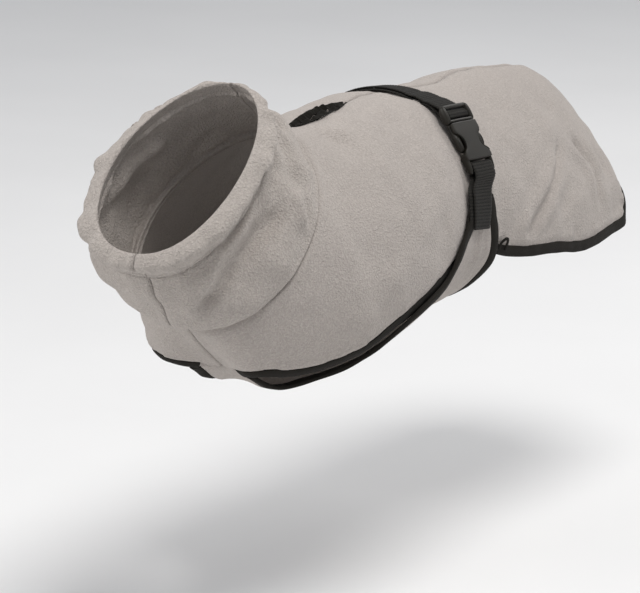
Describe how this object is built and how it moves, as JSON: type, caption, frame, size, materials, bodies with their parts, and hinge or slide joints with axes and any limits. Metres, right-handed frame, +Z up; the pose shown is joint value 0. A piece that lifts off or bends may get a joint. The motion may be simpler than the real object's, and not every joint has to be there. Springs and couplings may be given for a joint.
{
  "type": "dog winter coat",
  "caption": "Fleece winter coat for a small dog, in its worn form: standing collar, bound edges, lead slit, belly flap with wings and a webbing belt with a side-release buckle.",
  "frame": {"origin": "on the inside of the coat's back, in the middle, between the lead slit and the belt, where the wearer's back carries it", "axes": "+Z up, out of the wearer's back; -Y towards the neck opening, +Y towards the tail; +X the wearer's left, where the buckle is"},
  "size_m": [0.2088, 0.6308, 0.237],
  "materials": {
    "fleece": "short fleece nap, matt, warm light grey",
    "fleece_collar": "short fleece nap, matt, warm light grey",
    "binding": "woven tape, matt black",
    "webbing": "ribbed webbing, dull black",
    "plastic": "moulded black plastic, half matt"
  },
  "bodies": {
    "root": {"body_left": "fleece", "body_right": "fleece", "collar_left": "fleece_collar", "collar_right": "fleece_collar", "belly_flap": "fleece", "hem_binding_left": "binding", "hem_binding_right": "binding", "flap_binding_left": "binding", "flap_binding_right": "binding", "flap_rear_binding": "binding", "slit_binding_left": "binding", "slit_binding_right": "binding", "hem_loop_left": "binding", "hem_loop_right": "binding", "belt_strap": "webbing", "socket_strap": "webbing", "buckle_latch": "plastic", "buckle_socket": "plastic"}
  },
  "joints": []
}
